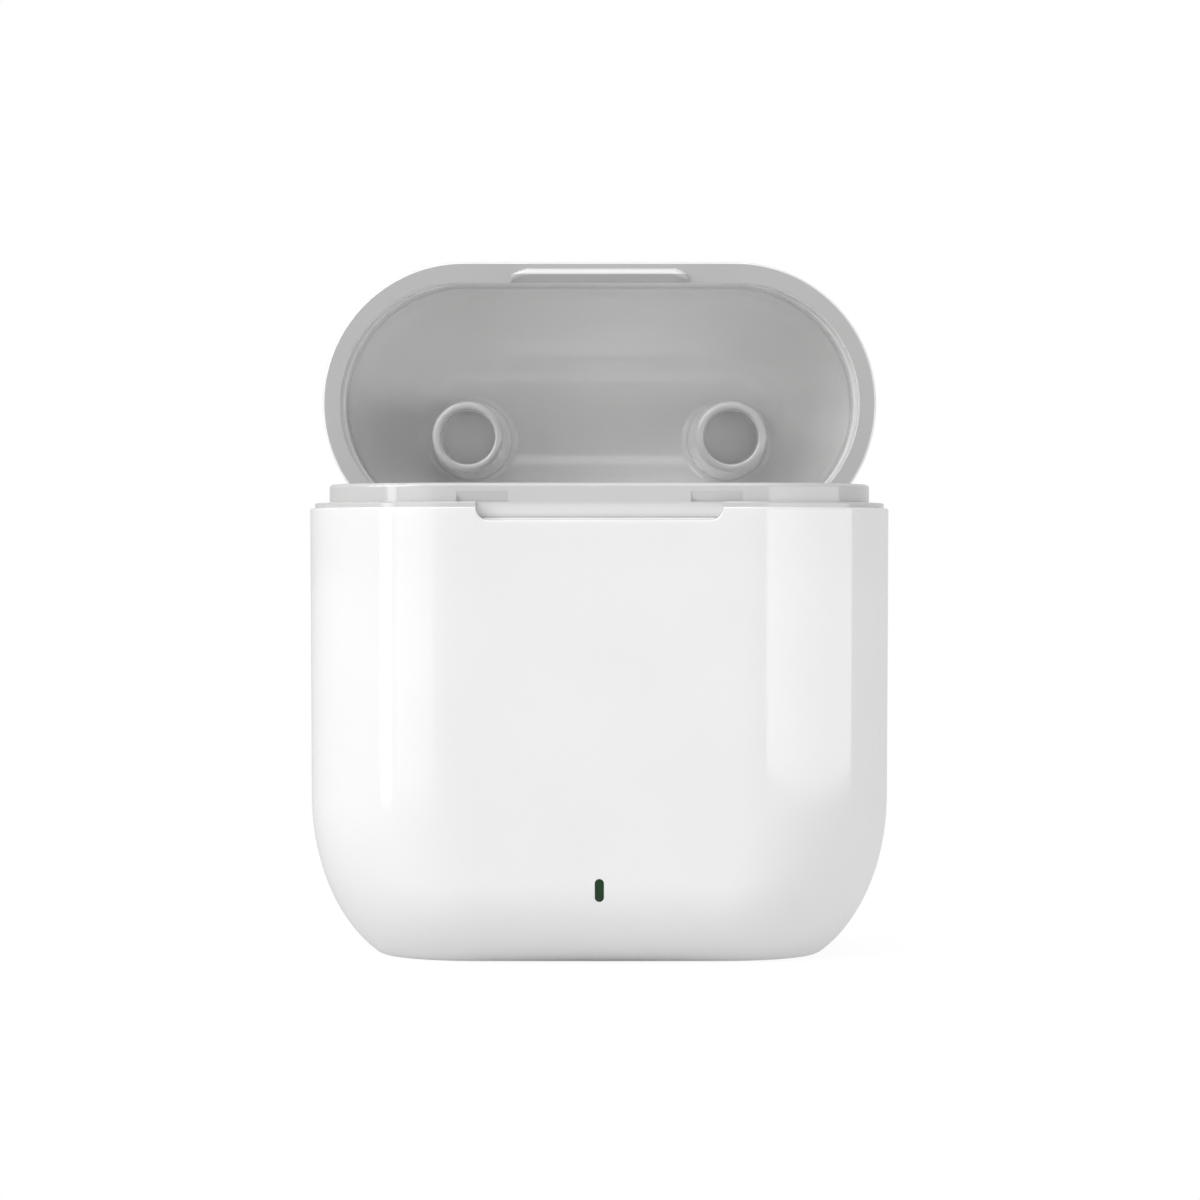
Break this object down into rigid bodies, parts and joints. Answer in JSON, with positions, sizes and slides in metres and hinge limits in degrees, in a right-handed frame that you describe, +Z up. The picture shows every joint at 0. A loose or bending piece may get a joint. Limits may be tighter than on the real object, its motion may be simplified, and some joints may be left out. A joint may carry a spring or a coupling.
{
  "type": "wireless earbuds charging case",
  "caption": "Pocket charging case for wireless earbuds: white oval shell, inner frame with earbud wells, and a domed lid on a steel back hinge, shown open.",
  "frame": {"origin": "centre of the flat base, on the charging port's axis, at the surface that the case stands on", "axes": "+X to the right seen from the front, +Y towards the hinge at the back, +Z up"},
  "size_m": [0.045, 0.0423, 0.0547],
  "materials": {
    "shell_white": "high gloss moulded",
    "liner_white": "soft gloss moulded",
    "hinge_steel": "fine brushed",
    "screw_steel": "turned",
    "battery_wrap": "satin laminate",
    "tape_foam": "closed-cell foam",
    "board_green": "solder mask",
    "chip_black": "moulded epoxy",
    "flex_amber": "polyimide film",
    "port_steel": "stamped",
    "contact_gold": "gold plated",
    "carrier_black": "moulded",
    "light_green": "tinted clear",
    "led_body": "moulded",
    "plunger_dark": "moulded",
    "magnet_nickel": "nickel plated"
  },
  "bodies": {
    "base": {"outer_shell": "shell_white", "inner_frame": "liner_white", "earbud_well_left": "liner_white", "earbud_well_right": "liner_white", "hinge_bracket": "hinge_steel", "hinge_pin": "hinge_steel", "hinge_bracket_screws": "screw_steel", "battery_cell": "battery_wrap", "battery_tape": "tape_foam", "main_board": "board_green", "port_board": "board_green", "led_board": "board_green", "board_chips": "chip_black", "hall_sensor": "chip_black", "tact_switch": "chip_black", "socket_tongue": "chip_black", "flex_ribbon": "flex_amber", "charging_socket": "port_steel", "socket_contacts": "contact_gold", "contact_barrels": "contact_gold", "contact_carrier_left": "carrier_black", "contact_carrier_right": "carrier_black", "led_light_pipe": "light_green", "led_chip": "led_body", "case_magnets": "magnet_nickel"},
    "lid": {"lid_shell": "shell_white", "lid_liner": "liner_white", "lid_hinge_leaf": "hinge_steel", "lid_leaf_screws": "screw_steel", "lid_magnets": "magnet_nickel"},
    "setup_button": {"setup_button": "shell_white", "switch_plunger": "plunger_dark"},
    "contact_pin_left_front": {"contact_pin_left_front": "contact_gold"},
    "contact_pin_left_rear": {"contact_pin_left_rear": "contact_gold"},
    "contact_pin_right_front": {"contact_pin_right_front": "contact_gold"},
    "contact_pin_right_rear": {"contact_pin_right_rear": "contact_gold"}
  },
  "joints": [
    {"name": "lid_hinge", "type": "hinge", "parent": "base", "child": "lid", "pos_m": [0, 0.0106, 0.0326], "axis": [1, 0, 0], "range_deg": [0, 90]},
    {"name": "setup_button_press", "type": "slide", "parent": "base", "child": "setup_button", "axis": [0, -1, 0], "range_m": [0, 0.00025], "stiffness_N_per_m": 400},
    {"name": "pin_travel_left_front", "type": "slide", "parent": "base", "child": "contact_pin_left_front", "axis": [0, 0, -1], "range_m": [0, 0.0006], "stiffness_N_per_m": 100},
    {"name": "pin_travel_left_rear", "type": "slide", "parent": "base", "child": "contact_pin_left_rear", "axis": [0, 0, -1], "range_m": [0, 0.0006], "stiffness_N_per_m": 100},
    {"name": "pin_travel_right_front", "type": "slide", "parent": "base", "child": "contact_pin_right_front", "axis": [0, 0, -1], "range_m": [0, 0.0006], "stiffness_N_per_m": 100},
    {"name": "pin_travel_right_rear", "type": "slide", "parent": "base", "child": "contact_pin_right_rear", "axis": [0, 0, -1], "range_m": [0, 0.0006], "stiffness_N_per_m": 100}
  ]
}
